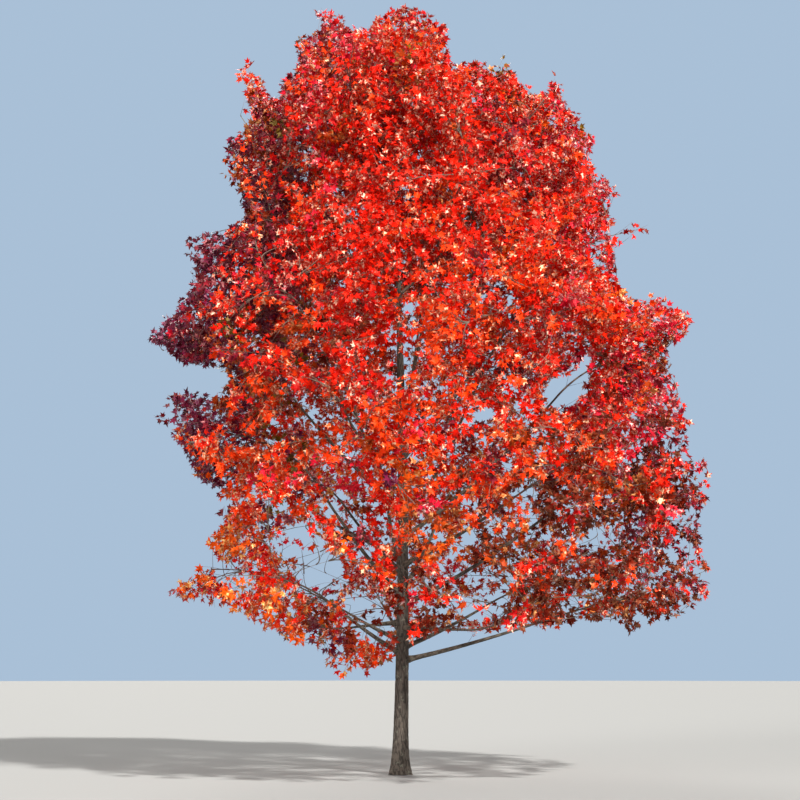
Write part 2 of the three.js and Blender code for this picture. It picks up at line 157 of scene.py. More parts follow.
# Open places that the viewer can see into or through the crown by, as the window of sky at the right, which
# comes first. Each has its middle as in the outline, its half-length and half-width, how its length is
# turned up from level in degrees, and the share of the leaves left there.
OPENINGS = (
    (2.55, 5.77, 0.37, 0.22, 35, 0.0), (-1.52, 9.42, 0.79, 0.16, 85, 0.4),
    (-0.86, 8.69, 0.44, 0.19, -60, 0.45), (-0.75, 8.03, 0.25, 0.16, 60, 0.45),
    (0.00, 6.73, 0.37, 0.17, 70, 0.35), (0.08, 5.97, 0.37, 0.12, 82, 0.3),
    (1.35, 6.19, 0.31, 0.12, 40, 0.35), (1.13, 8.58, 0.34, 0.13, -55, 0.45),
    (3.59, 8.53, 0.41, 0.19, 50, 0.4), (-1.36, 3.12, 0.69, 0.39, -55, 0.08),
    (-1.19, 5.37, 0.61, 0.31, -75, 0.45), (-0.99, 4.06, 0.58, 0.17, -80, 0.4),
    (0.08, 3.05, 0.28, 0.18, 90, 0.2), (-2.03, 4.03, 0.39, 0.12, -25, 0.15),
    (-2.60, 2.93, 0.52, 0.21, -32, 0.08), (-2.72, 5.21, 0.49, 0.20, -50, 0.3),
    (-0.46, 2.34, 0.50, 0.36, -60, 0.1), (1.35, 2.78, 0.42, 0.24, 20, 0.25),
    (2.41, 2.88, 0.51, 0.24, 15, 0.4), (3.05, 3.52, 0.39, 0.20, 35, 0.15),
    (3.68, 2.84, 0.45, 0.18, 20, 0.2), (1.21, 2.42, 0.69, 0.17, 10, 0.15),
    (2.72, 2.50, 0.45, 0.15, 20, 0.15),
)

# Where the viewer stands, in metres, how many degrees up they look, and their lens in millimetres.
VIEWER = {"distance": 24.0, "eye_height": 1.6, "tilt": 9.46, "lens": 71.46, "sensor": 36.0, "farthest": 400}

# bend_at and sag shape a limb's curve: how far along its bend lies, and how far below the straight line.
# collar is how much thicker a bough starts at the trunk's bark, and falls to a third within collar_fall.
BOUGH = {"sides": 15, "rings": 54, "bend_at": 0.45, "sag": 0.35, "collar": 0.55, "collar_fall": 0.06}

# A mass's stem comes in and ends at these shares of its half-sizes from its centre.
STEM = {
    "root_radius": 0.016, "tip_radius": 0.006, "trunk_root_radius": 0.026, "sides": 9, "rings": 22,
    "entry_out": -0.66, "entry_up": -0.5, "end_out": 0.6, "end_up": 0.5,
}

# Branches run from the stem to places spread evenly over the skin of a mass, and leave it further along
# where they run outwards or up. reach is their length's share of the way to the skin, and lead the share of
# their length in which they follow the stem.
BRANCH = {
    "root_radius": 0.0095, "tip_radius": 0.0022, "sides": 4, "rings": 5,
    "first": 0.04, "last": 0.96, "along": 0.5, "along_out": 0.4, "along_up": 0.2,
    "reach": 0.98, "reach_scatter": 0.24, "lead": 0.42,
}

# Branches at the crown's rim run from the nearest wood to places this far apart along its outline, set in
# towards the trunk, and those low down towards this height on it. depth is how far they scatter before and
# behind the trunk, and sharpening how far the outline's tips are drawn out.
RIM = {"spacing": 0.3, "inset": 0.15, "depth": 0.8, "towards": 3.4, "sharpening": 0.22}

# Lesser branches fill the crown between its masses. They run from the nearest wood to places that turn
# round the trunk by the golden angle, where no shoot is within the gap, which narrows from the skirt up.
# A shoot counts as being where its leaves are, leafy_at along it. within is the places' range of the way
# from trunk to rim, which starts further in at the crown's top.
FILL = {
    "places": 5000, "low": 1.8, "high": 11.4, "within": (0.55, 0.97), "within_top": 0.08,
    "gap": (0.42, 0.22), "leafy_at": 0.6,
}

# Few shoots live in the shade: their share near the trunk, where between trunk and rim it rises to all, and
# the heights over which the light from above comes to reach them.
SHADE = {"least": 0.1, "from": 0.35, "to": 0.78, "open_above": (8.4, 10.0)}

# The sprays make fans that spread up and out from this height on the trunk, with gaps between them. A shoot
# keeps more room in a gap than in a fan, and dark tints are commoner in the gaps as painted shade.
FANS = {
    "root_height": 2.0, "fineness": 7.0, "share": 0.6, "contrast": 2.2, "room": (1.5, 0.775),
    "gap_shade_tints": ("ruby", "maroon", "garnet"), "gap_shade_strength": 2.8,
}

# How a rim or filling branch grows: its first part follows the wood that bears it, and wood that runs
# another way or lies above its end counts as further off. Wood bears from bearing_from of its way on, at so
# many places. A branch is cut at the outline, which is looked for in so many steps, but keeps its shortest
# share.
OFFSHOOT = {
    "lead": 0.25, "turning": 0.7, "downward": 0.8, "shortest": 0.25,
    "bearing_from": 0.1, "bearing_places": 8, "steps": 20,
}

# Leafy shoots stand in opposite pairs along a branch, each pair turned a quarter from the last. limit is how
# far out a shoot may end, as a share of the way to the skin of its mass.
SHOOT = {
    "root_radius": 0.0032, "tip_radius": 0.0012, "sides": 3, "rings": 2,
    "spacing": 0.145, "first": 0.24, "angle": 0.85, "angle_scatter": 0.25, "roll_scatter": 0.3,
    "length": 0.46, "tip_length": 0.26, "length_scatter": 0.3, "limit": 1.3,
}

# How the shoots stand, low in the crown and high in it: the room that one keeps, how far they turn to the
# sky, and how they bend.
HABIT = {"low": 2.6, "high": 8.6, "room": (0.205, 0.164), "lift": (0.02, 0.75), "bend": (-0.16, 0.16)}

# Leaves stand in opposite pairs along a shoot. They face the sky and out of the crown, tilted at random, and
# hang. Above level_below, out of the crown is upwards too. The stalk's sizes are shares of the leaf's
# length, and faces is how many triangles a leaf has. An opening thins the leaves of the shoots that it
# leaves by the sparing power of its share.
LEAF = {
    "length": 0.097, "scatter": 0.3, "faces": 9,
    "stalk": 0.5, "stalk_width": 0.03, "stalk_drop": 0.06, "stalk_overlap": 0.02,
    "spacing": 0.044, "first": 0.18, "angle": 0.95, "angle_scatter": 0.3,
    "to_sky": 0.45, "outwards": 0.36, "level_below": 5.5, "upwards": 0.45,
    "tilt": 0.85, "hang": 0.5, "rim_scatter": 0.06, "sparing": 0.5,
}

# Half of a leaf's outline, from its stalk by the lower lobe and the side lobe to its tip.
LEAF_HALF = ((0, 0), (0.44, 0.10), (0.30, 0.30), (0.57, 0.66), (0.19, 0.54), (0, 1))

# How far a leaf's tips curl back and its halves fold up, for each of its shapes.
LEAF_SHAPES = ((0.25, 0.30), (0.45, 0.60), (0.10, -0.35), (0.35, 0.95), (0.15, 0.55))
LEAF_SHINE = {"level": 0.15, "tint": (1.0, 0.70, 0.54)}


# An autumn colour of the leaves, or a dark one that paints shade: the record's slot that it belongs to,
# its upper and lower sides and the silvery bloom on many undersides in linear light, and its usual share of
# the crown.
class Tint(NamedTuple):
    slot: str
    upper: tuple
    under: tuple
    bloom: tuple
    share: float


TINTS = {
    "scarlet": Tint("leaf_scarlet", (0.80, 0.009, 0.003), (0.62, 0.040, 0.015), (0.92, 0.58, 0.43), 1.1),
    "vermilion": Tint("leaf_scarlet", (0.90, 0.045, 0.004), (0.72, 0.090, 0.020), (0.92, 0.60, 0.38), 0.5),
    "ruby": Tint("leaf_crimson", (0.48, 0.003, 0.006), (0.44, 0.028, 0.022), (0.78, 0.44, 0.34), 0.8),
    "crimson": Tint("leaf_crimson", (0.66, 0.007, 0.034), (0.58, 0.055, 0.070), (0.92, 0.58, 0.55), 0.6),
    "maroon": Tint("leaf_maroon", (0.210, 0.005, 0.022), (0.21, 0.032, 0.050), (0.38, 0.14, 0.15), 0.2),
    "plum": Tint("leaf_maroon", (0.150, 0.007, 0.042), (0.19, 0.036, 0.085), (0.32, 0.13, 0.18), 0.05),
    # This dark red is painted shade, for leaves where the crown above shades them.
    "garnet": Tint("leaf_maroon", (0.150, 0.008, 0.003), (0.15, 0.030, 0.014), (0.28, 0.10, 0.05), 0.06),
    "orange": Tint("leaf_orange", (0.86, 0.095, 0.005), (0.72, 0.190, 0.040), (0.88, 0.55, 0.22), 0.08),
    "rust": Tint("leaf_orange", (0.40, 0.040, 0.004), (0.42, 0.110, 0.030), (0.62, 0.30, 0.12), 0.3),
    "olive": Tint("leaf_orange", (0.20, 0.11, 0.006), (0.28, 0.19, 0.04), (0.42, 0.33, 0.12), 0.03),
}

# Places in the crown where a tint is common: where each lies, how far it reaches, and how strong it is.
PATCHES = {
    "scarlet": (
        # The patches at (0.9, -2.4, 7.2) and (0.4, -1.9, 8.4) are partly the leaves' own scarlet and partly
        # painted light: they make the front of the crown's middle lighter, as if lit.
        ((-2.3, -0.8, 10.4), 0.9, 6.0), ((0.9, -2.4, 7.2), 1.9, 40.0), ((0.4, -1.9, 8.4), 1.2, 18.0),
        ((2.2, -2.4, 5.8), 1.3, 20.0), ((1.7, -2.2, 4.7), 1.3, 14.0), ((-1.4, -2.2, 3.4), 1.2, 8.0),
    ),
    "vermilion": (
        # The patch at (1.3, -2.6, 6.2) is partly the leaves' own colour and partly painted light on the
        # crown's front.
        ((-1.9, -1.4, 7.8), 0.8, 16.0), ((1.3, -2.6, 6.2), 1.5, 20.0), ((-0.2, -1.4, 10.0), 1.0, 7.0),
        ((1.0, -2.4, 4.8), 1.3, 16.0), ((-2.1, -1.8, 4.3), 1.3, 20.0), ((-1.0, -0.8, 1.6), 0.9, 20.0),
        ((-1.0, 3.0, 6.4), 1.9, 3.0),
    ),
    "ruby": (
        ((-0.6, -1.0, 10.5), 0.8, 8.0), ((-0.6, -1.6, 7.0), 0.9, 8.0), ((0.0, -0.4, 11.6), 1.0, 14.0),
    ),
    "crimson": (
        ((-1.5, -1.2, 9.6), 0.9, 8.0), ((-1.1, -0.4, 11.3), 0.8, 8.0), ((2.9, -0.8, 7.9), 1.4, 9.0),
        ((3.9, -0.8, 5.8), 1.4, 14.0),
    ),
    # The maroon patch low at the right, at (4.3, -0.4, 3.9), is painted shade under the crown's overhang.
    "maroon": (
        ((-3.3, -0.4, 6.8), 1.3, 60.0), ((-1.5, -0.6, 10.2), 0.9, 12.0), ((-1.7, -1.6, 6.6), 0.7, 10.0),
        ((4.3, -0.4, 3.9), 1.0, 18.0), ((3.0, 2.4, 6.4), 1.5, 3.0),
    ),
    "plum": (
        ((-3.4, -0.2, 5.6), 1.2, 60.0), ((-3.2, -0.3, 8.0), 1.1, 40.0), ((-1.5, 0.0, 9.2), 0.7, 7.0),
    ),
    # These dark red patches are painted shade: low at the right under the crown, and in a hollow left of the
    # middle.
    "garnet": (
        ((-1.6, -1.6, 5.8), 0.7, 16.0), ((3.0, -1.2, 2.6), 1.7, 50.0), ((1.4, -1.4, 2.3), 1.2, 40.0),
    ),
    "orange": (
        ((-2.4, -1.4, 2.6), 1.3, 26.0), ((0.2, -2.2, 4.3), 0.8, 8.0), ((1.8, 2.6, 3.2), 1.5, 3.0),
    ),
    # The rust patch low at the right, at (2.2, -1.6, 3.2), is painted shade under the crown's overhang.
    "rust": (
        ((-2.2, -0.8, 9.6), 0.8, 12.0), ((2.2, -1.6, 3.2), 1.3, 14.0), ((-1.5, -1.2, 5.6), 0.9, 12.0),
    ),
    "olive": (((-1.5, -0.8, 5.4), 0.8, 22.0),),
}

# Every tint is commoner in some clumps of the crown than in others. loyalty is the share of the shoots that
# take their branch's tint, and apart sets each tint's clumps off from the last one's.
CLUMP = {"size": 1.1, "strength": 1.6, "loyalty": 0.45, "apart": 31.7}

# Plates of bark stand between furrows of a depth, a little bent by the warp, on a surface that swells.
# Boughs have finer plates and shallower furrows than the trunk.
BARK = {
    "plate": (0.034, 0.034, 0.17), "bough_plate": 0.6, "furrow": 0.22,
    "depth": 0.0065, "bough_depth": 0.0016,
    "warp": 0.012, "warp_size": 0.09, "swell": 0.004, "swell_size": 0.35,
}

# The bark of each kind of wood: the colours of its plates and furrows in linear light, how fine its grain
# is, and how much of it lichen covers.
BARKS = {
    "trunk": ((0.15, 0.125, 0.105), (0.03, 0.024, 0.02), 55, 0.5),
    "bough": ((0.18, 0.147, 0.118), (0.04, 0.032, 0.025), 80, 0.3),
    "branch": ((0.21, 0.16, 0.125), (0.07, 0.05, 0.04), 120, 0.1),
    "twig": ((0.22, 0.12, 0.09), (0.10, 0.05, 0.04), 150, 0.0),
}

# The studio's lamps: the strength of each, and in degrees how wide it is, how high it stands, and how far
# round to the viewer's right from behind them.
LAMPS = {"key": (7.2, 3, 41, 36), "fill": (1.9, 30, 20, -40), "rim": (1.4, 30, 30, 190)}
LAMP_COLOUR = (1.0, 0.95, 0.87)

# The studio's wall as it is seen, and the light that comes from it on all sides.
WALL = {"Color": (0.47, 0.62, 0.80, 1), "Strength": 0.85}
WALL_LIGHT = {"Color": (0.94, 0.93, 0.92, 1), "Strength": 0.42}
FLOOR = {"radius": 140, "sides": 96, "colour": (0.26, 0.27, 0.28), "roughness": 0.9}


# The rule that the solids follow

# A number from -0.5 to 0.5 for each index, spread evenly.
def spread(index):
    return (index * GOLDEN_SHARE + SPREAD_START) % 1 - 0.5


# The step up the trunk at which a tier's limb roots: every second one in turn, or from the top down where
# their number is even.
def step_of(index, count):
    return (index * (2 if count % 2 else count - 1)) % count


def outward(azimuth):
    angle = math.radians(azimuth)
    return np.array((math.cos(angle), math.sin(angle), 0.0))


def unit(vectors):
    return vectors / np.linalg.norm(vectors, axis=-1, keepdims=True)


# What lies a share of the way from one value to another.
def between(first, last, share):
    return first + (last - first) * share


# Directions turned by angles towards others that are square to them.
def turned(ways, others, angles):
    return np.cos(angles) * ways + np.sin(angles) * others


def ring_shares(limb):
    return np.linspace(0, 1, limb["rings"] + 1)


# The chosen rows of a table of arrays.
def rows(table, chosen):
    return type(table)(*(column[chosen] for column in table))


def all_rows(tables):
    return type(tables[0])(*(np.concatenate(columns) for columns in zip(*tables)))


# The crown's radius at a height, on a side told by the cosine of its azimuth.
def crown_radius(height, cosine):
    left = np.interp(height, EDGE_HEIGHTS, EDGE_LEFT)
    right = np.interp(height, EDGE_HEIGHTS, EDGE_RIGHT)
    return between(left, right, (1 + cosine) / 2)


# How far out in the crown places lie: 0 at the trunk's line and 1 at the crown's edge.
def crown_share(places):
    radius = np.hypot(places[:, 0], places[:, 1])
    return radius / crown_radius(places[:, 2], places[:, 0] / radius)


def trunk_axis(height):
    turn = 2 * math.pi * height / TRUNK["top"]
    sway = [size * np.sin(turn * turns) for size, turns in zip(TRUNK["sway"], TRUNK["sway_turns"])]
    return np.stack([*sway, height], axis=-1)


def trunk_radius(height):
    along = (height / TRUNK["top"]) ** TRUNK["taper"]
    flare = (TRUNK["foot_radius"] - TRUNK["breast_radius"]) * np.exp(-height / TRUNK["flare_fall"])
    return between(TRUNK["breast_radius"], TRUNK["tip_radius"], along) + flare


# Points on quadratic curves, each given by its start, bend and end, at shares of their way.
def curve_points(curve, share):
    start, bend, end = (curve[..., k, :] for k in range(3))
    share = np.asarray(share)[..., None]
    return (1 - share) ** 2 * start + 2 * share * (1 - share) * bend + share**2 * end


def curve_way(curve, share):
    start, bend, end = (curve[..., k, :] for k in range(3))
    share = np.asarray(share)[..., None]
    return unit((1 - share) * (bend - start) + share * (end - bend))


# A curve that leaves its root low and rises to its end.
def rising_curve(root, end, rise):
    bend = between(root, end, BOUGH["bend_at"]) - UP * rise * BOUGH["sag"] * (end[2] - root[2])
    return np.array((root, bend, end))


# Where a mass lies: its centre, its three axes outwards, sideways and upwards, and half its size on each.
class Space(NamedTuple):
    centre: np.ndarray
    axes: np.ndarray
    half: np.ndarray

    def place(self, shares):
        return self.centre + (np.asarray(shares) * self.half) @ self.axes

    def depth(self, points):
        return np.linalg.norm((points - self.centre) @ self.axes.T / self.half, axis=-1)


class Mass(NamedTuple):
    space: Space
    stem: np.ndarray
    root_radius: float
    branches: int
    seed: int


class Bough(NamedTuple):
    label: str
    curve: np.ndarray
    root_radius: float
    tip_radius: float


def mass_space(tier, azimuth, height):
    out = outward(azimuth)
    half = np.array((tier.length, tier.width, tier.depth)) / 2
    centre = trunk_axis(height) + out * (crown_radius(height, out[0]) - half[0])
    return Space(centre, np.array((out, np.cross(UP, out), UP)), half)


def leader_mass():
    half = np.array((LEADER["length"], LEADER["width"], LEADER["depth"])) / 2
    tip = trunk_axis(TRUNK["top"])
    centre = np.array((tip[0] + LEADER["lean"], tip[1], LEADER["height"]))
    rise = UP * LEADER["stem_rise"] * half[2]
    space = Space(centre, np.eye(3), half)
    stem = np.array((tip, tip + rise, centre + rise))
    return Mass(space, stem, TRUNK["tip_radius"], LEADER["branches"], 1)


def stem_from_bough(entry, end, bough_curve):
    way = curve_way(bough_curve, 1.0)
    return np.array((entry, entry + way * BOUGH["bend_at"] * np.linalg.norm(end - entry), end))


# The boughs and masses, in the order of the solids' rule.
def grow_limbs():
    boughs, masses = [], [leader_mass()]
    for tier in reversed(TIERS):
        count = len(tier.azimuths)
        for i in reversed(range(count)):
            azimuth = tier.azimuths[i]
            height = tier.height + tier.scatter * spread(i) + tier.back_rise * outward(azimuth)[1]
            space = mass_space(tier, azimuth, height)
            entry = space.place((STEM["entry_out"], 0, STEM["entry_up"]))
            end = space.place((STEM["end_out"], 0, STEM["end_up"] * tier.upright))
            root = trunk_axis(tier.root_height + tier.root_step * step_of(i, count))
            if tier.root_radius:
                curve = rising_curve(root, entry, tier.rise)
                boughs.append(Bough(f"{tier.name}_{i + 1}", curve, tier.root_radius, tier.tip_radius))
                stem, radius = stem_from_bough(entry, end, curve), STEM["root_radius"]
            else:
                stem, radius = rising_curve(root, end, tier.rise), STEM["trunk_root_radius"]
            masses.append(Mass(space, stem, radius, tier.branches, len(masses) + 1))
    return boughs, masses


# Where the viewer sees places: metres across and up at the trunk's distance.
def as_seen(points):
    scale = VIEWER["distance"] / (VIEWER["distance"] + points[:, 1])
    return points[:, 0] * scale, VIEWER["eye_height"] + (points[:, 2] - VIEWER["eye_height"]) * scale


# The place that lies so far behind the trunk and is seen there.
def seen_at(across, height, depth):
    scale = (VIEWER["distance"] + depth) / VIEWER["distance"]
    eye = VIEWER["eye_height"]
    return np.array((across * scale, depth, eye + (height - eye) * scale))


# The share of the leaves that the openings leave at places.
def share_left(points):
    across, height = as_seen(points)
    share = np.ones(len(points))
    for middle, middle_height, half_length, half_width, turn, left in OPENINGS:
        off, up = across - middle, height - middle_height
        cosine, sine = math.cos(math.radians(turn)), math.sin(math.radians(turn))
        along = (off * cosine + up * sine) / half_length
        beside = (up * cosine - off * sine) / half_width
        share[np.hypot(along, beside) < 1] *= left
    return share


# The outline with its tips drawn out and its notches deepened, because leaves blur both.
def sharpened_outline():
    corners = np.array(OUTLINE)
    neighbours = (np.roll(corners, 1, axis=0) + np.roll(corners, -1, axis=0)) / 2
    return corners + RIM["sharpening"] * (corners - neighbours)


# True inside the outline: a line to the right from there crosses it an odd number of times.
def in_outline(points):
    across, height = as_seen(points)
    inside = np.zeros(len(points), dtype=bool)
    corners = sharpened_outline()
    for (x, z), (next_x, next_z) in zip(corners, np.roll(corners, -1, axis=0)):
        spans = (z > height) != (next_z > height)
        crossing = x + (next_x - x) * (height - z) / (next_z - z if next_z != z else 1)
        inside ^= spans & (across < crossing)
    return inside


def in_cad_box(points):
    return np.all((points > np.array(cad_box[0])) & (points < np.array(cad_box[1])), axis=-1)


# True where a leaf may be: inside the outline and the solids' box, and off the window of sky.
def may_leaf(points):
    return in_outline(points) & in_cad_box(points) & (share_left(points) > 0)


# Meshes

def new_object(name, data):
    made = bpy.data.objects.new(name, data)
    bpy.context.scene.collection.objects.link(made)
    return made


# One piece of the tree, which takes the place of some of its solids.
def new_piece(name, mesh, material, slot, *nodes):
    piece = new_object(name, mesh)
    mesh.materials.append(material)
    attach(piece, "root")
    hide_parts(*nodes)


def mesh_from(name, bm):
    mesh = bpy.data.meshes.new(name)
    bm.to_mesh(mesh)
    bm.free()
    return mesh


# Many small things as one mesh of triangles.
def triangle_mesh(name, places, corners):
    mesh = bpy.data.meshes.new(name)
    mesh.vertices.add(len(places))
    mesh.vertices.foreach_set("co", places.astype(np.float32).ravel())
    mesh.loops.add(corners.size)
    mesh.loops.foreach_set("vertex_index", corners.astype(np.int32).ravel())
    mesh.polygons.add(len(corners))
    mesh.polygons.foreach_set("loop_start", np.arange(0, corners.size, 3, dtype=np.int32))
    mesh.update(calc_edges=True)
    mesh.validate()
    return mesh


# Directions square to a line of points and to each other, that turn no more than they must along it.
def frames_along(points):
    ways = unit(np.gradient(points, axis=-2))
    across = [unit(np.cross(ways[..., 0, :], LIMB_REFERENCE))]
    for ring in range(1, points.shape[-2]):
        way = ways[..., ring, :]
        carried = across[-1] - np.sum(across[-1] * way, axis=-1, keepdims=True) * way
        across.append(unit(carried))
    across = np.stack(across, axis=-2)
    return across, np.cross(ways, across)


# Closed tapering tubes of one ring count: points (tubes, rings, 3) and radii (tubes, rings).
def tubes(points, radii, sides):
    count, rings = radii.shape
    across, beside = frames_along(points)
    around = 2 * math.pi * np.arange(sides) / sides
    spokes = turned(across[..., None, :], beside[..., None, :], around[:, None])
    places = points[:, :, None, :] + radii[:, :, None, None] * spokes
    side, ring = np.meshgrid(np.arange(sides), np.arange(rings - 1))
    here = (ring * sides + side).ravel()
    there = (ring * sides + (side + 1) % sides).ravel()
    walls = np.concatenate((
        np.stack((here, there, there + sides), axis=-1),
        np.stack((here, there + sides, here + sides), axis=-1),
    ))
    fan = np.arange(1, sides - 1)
    root_cap = np.stack((np.zeros_like(fan), fan + 1, fan), axis=-1)
    tip_cap = (rings - 1) * sides + root_cap[:, ::-1]
    pattern = np.concatenate((walls, root_cap, tip_cap))
    corners = pattern + (np.arange(count) * rings * sides)[:, None, None]
    return places.reshape(-1, 3), corners.reshape(-1, 3)


def joined(parts):
    offsets = np.cumsum([0] + [len(places) for places, _ in parts[:-1]])
    places = np.concatenate([places for places, _ in parts])
    corners = np.concatenate([corners + offset for (_, corners), offset in zip(parts, offsets)])
    return places, corners


# Trunk and boughs

# How deep a place on the bark lies in a furrow, from 0 on a plate to 1.
def furrow_at(place, plate):
    bent = place + BARK["warp"] * noise.noise_vector(place / BARK["warp_size"])
    cell = Vector((bent.x / plate[0], bent.y / plate[1], bent.z / plate[2]))
    distances, _ = noise.voronoi(cell)
    return max(0.0, 1 - (distances[1] - distances[0]) / BARK["furrow"])


# A closed tube round Z from 0 to 1, cut into rings.
def ringed_tube(sides, rings):
    bm = bmesh.new()
    bmesh.ops.create_cone(bm, cap_ends=True, segments=sides, radius1=1, radius2=1, depth=1)
    bmesh.ops.translate(bm, verts=bm.verts, vec=(0, 0, 0.5))
    long_edges = [edge for edge in bm.edges if abs(edge.verts[0].co.z - edge.verts[1].co.z) > 0.5]
    bmesh.ops.subdivide_edges(bm, edges=long_edges, cuts=rings - 1, use_grid_fill=True)
    return bm


# A limb whose rings follow a line of points, with the bark's plates and furrows standing in its surface.
def limb_mesh(name, points, radius_at, sides, depth, plate):
    rings = len(points) - 1
    across, beside = frames_along(points)
    bm = ringed_tube(sides, rings)
    furrowed = bm.verts.layers.float.new("furrow")
    for vert in bm.verts:
        ring = round(vert.co.z * rings)
        around = math.atan2(vert.co.y, vert.co.x)
        spoke = Vector(math.cos(around) * across[ring] + math.sin(around) * beside[ring])
        middle = Vector(points[ring])
        place = middle + spoke * radius_at(ring, around)
        furrow = furrow_at(place, plate)
        swell = BARK["swell"] * noise.noise(place / BARK["swell_size"]) * depth / BARK["depth"]
        vert.co = place + spoke * (swell - depth * furrow)
        vert[furrowed] = furrow
    mesh = mesh_from(name, bm)
    mesh.shade_smooth()
    return mesh


def trunk_piece(material):
    heights = TRUNK["top"] * ring_shares(TRUNK) ** TRUNK["rings_gather"]
    points, radii = trunk_axis(heights), trunk_radius(heights)
    flares = TRUNK["buttress_depth"] * np.exp(-heights / TRUNK["flare_fall"])

    def radius_at(ring, around):
        return radii[ring] * (1 + flares[ring] * math.cos(TRUNK["buttresses"] * around))

    mesh = limb_mesh("trunk_bark", points, radius_at, TRUNK["sides"], BARK["depth"], BARK["plate"])
    for vert in mesh.vertices:
        vert.co.z = max(vert.co.z, 0.0)
    new_piece("trunk_bark", mesh, material, "bark", "trunk")


def bough_piece(bough, material):
    points = curve_points(bough.curve, ring_shares(BOUGH))
    root = bough.curve[0]
    beyond = np.maximum(0, np.linalg.norm(points - root, axis=-1) - trunk_radius(root[2]))
    collar = 1 + BOUGH["collar"] * np.exp(-beyond / BOUGH["collar_fall"])
    radii = between(bough.root_radius, bough.tip_radius, ring_shares(BOUGH)) * collar
    plate = [size * BARK["bough_plate"] for size in BARK["plate"]]
    name = f"bough_bark_{bough.label}"
    mesh = limb_mesh(name, points, lambda ring, _: radii[ring], BOUGH["sides"], BARK["bough_depth"], plate)
    new_piece(name, mesh, material, "bark", f"bough_{bough.label}")


# Foliage

# Curves of the branches of one mass: from places along its stem to places spread over its skin.
def branch_curves(mass, rng):
    k = np.arange(mass.branches)
    level = 1 - (2 * k + 1) / mass.branches
    turn = k * GOLDEN_ANGLE + mass.seed
    ring = np.sqrt(1 - level * level)
    to_skin = np.stack((ring * np.cos(turn), ring * np.sin(turn), level), axis=-1)
    reach = BRANCH["reach"] * (1 + BRANCH["reach_scatter"] * rng.uniform(-1, 1, mass.branches))
    end = mass.space.place(to_skin * reach[:, None])
    along = BRANCH["along"] + BRANCH["along_out"] * to_skin[:, 0] + BRANCH["along_up"] * to_skin[:, 2]
    along = np.clip(along, BRANCH["first"], BRANCH["last"])
    start = curve_points(mass.stem, along)
    lead = BRANCH["lead"] * np.linalg.norm(end - start, axis=-1, keepdims=True)
    bend = start + curve_way(mass.stem, along) * lead
    return np.stack((start, bend, end), axis=1)


class Shoots(NamedTuple):
    start: np.ndarray
    way: np.ndarray
    length: np.ndarray
    branch: np.ndarray
    along: np.ndarray  # share of the branch's way that they stand at


# Two directions square to each way and to each other.
def square_to(way):
    across = unit(np.cross(way, SHOOT_REFERENCE))
    return across, np.cross(across, way)


# How the crown's habit is at a height, between how it is in the drooping skirt and in the upswept crest.
def habit_at(height, low_and_high):
    return between(*low_and_high, np.clip((height - HABIT["low"]) / (HABIT["high"] - HABIT["low"]), 0, 1))


# The leafy shoots along one branch, and the one that carries on its tip.
def branch_shoots(curve, number, rng):
    run = np.linalg.norm(curve[1] - curve[0]) + np.linalg.norm(curve[2] - curve[1])
    shares = np.repeat(np.arange(SHOOT["first"], 1, SHOOT["spacing"] / run), 2)
    pairs = len(shares) // 2
    side = np.tile((1, -1), pairs)[:, None]
    quarter = np.repeat(np.arange(pairs) % 2, 2) * math.pi / 2
    roll = quarter + rng.uniform(0, math.pi) + rng.normal(0, SHOOT["roll_scatter"], len(shares))
    start, way = curve_points(curve, shares), curve_way(curve, shares)
    sideways = side * turned(*square_to(way), roll[:, None])
    angle = SHOOT["angle"] + SHOOT["angle_scatter"] * rng.uniform(-1, 1, len(shares))
    lift = habit_at(start[:, 2], HABIT["lift"])[:, None] * UP
    length = between(SHOOT["length"], SHOOT["tip_length"], shares)
    starts = np.concatenate((start, curve[2:]))
    ways = np.concatenate((unit(turned(way, sideways, angle[:, None]) + lift), curve_way(curve, [1.0])))
    lengths = np.append(length, SHOOT["tip_length"])
    lengths = lengths * (1 + SHOOT["length_scatter"] * rng.uniform(-1, 1, len(lengths)))
    return Shoots(starts, ways, lengths, np.full(len(lengths), number), np.append(shares, 1.0))


# Places on shoots, all at one share of their way or each at its own.
def shoot_points(shoots, share):
    bend = habit_at(shoots.start[:, 2], HABIT["bend"]) * shoots.length
    straight = shoots.start + shoots.way * (shoots.length * share)[:, None]
    return straight + UP * (bend * (share * share))[:, None]


# Where branches are wanted at the rim: places along the outline, a little inside it.
def rim_places(rng):
    corners = sharpened_outline()
    corners = np.concatenate((corners, corners[:1]))
    run = np.concatenate(([0], np.cumsum(np.linalg.norm(np.diff(corners, axis=0), axis=-1))))
    at = np.arange(0, run[-1], RIM["spacing"])
    across, height = (np.interp(at, run, corners[:, k]) for k in range(2))
    for x, z in zip(across, height):
        place = seen_at(x, z, rng.uniform(-RIM["depth"], RIM["depth"]))
        inwards = unit(UP * np.clip(z, RIM["towards"], TRUNK["top"]) - place)
        yield place + RIM["inset"] * inwards


# Places spread through the whole crown.
def crown_places(rng):
    for k in range(FILL["places"]):
        height = rng.uniform(FILL["low"], FILL["high"])
        out = outward(math.degrees(k * GOLDEN_ANGLE))
        least = np.interp(height, SHADE["open_above"], (FILL["within"][0], FILL["within_top"]))
        share = math.sqrt(rng.uniform(least**2, FILL["within"][1] ** 2))
        yield trunk_axis(height) + share * crown_radius(height, out[0]) * out


# The wood that further branches can grow from: places on it, its way there, and which branch of the crown
# it is, -1 for a stem or bough, with the share of its way.
class Wood(NamedTuple):
    place: np.ndarray
    way: np.ndarray
    branch: np.ndarray
    along: np.ndarray


def wood_of(limbs, curves):
    shares = np.linspace(OFFSHOOT["bearing_from"], 1, OFFSHOOT["bearing_places"])
    everything = limbs + curves
    place = np.concatenate([curve_points(curve, shares) for curve in everything])
    way = np.concatenate([curve_way(curve, shares) for curve in everything])
    branch = np.repeat(np.concatenate((np.full(len(limbs), -1), np.arange(len(curves)))), len(shares))
    return Wood(place, way, branch, np.tile(shares, len(everything)))


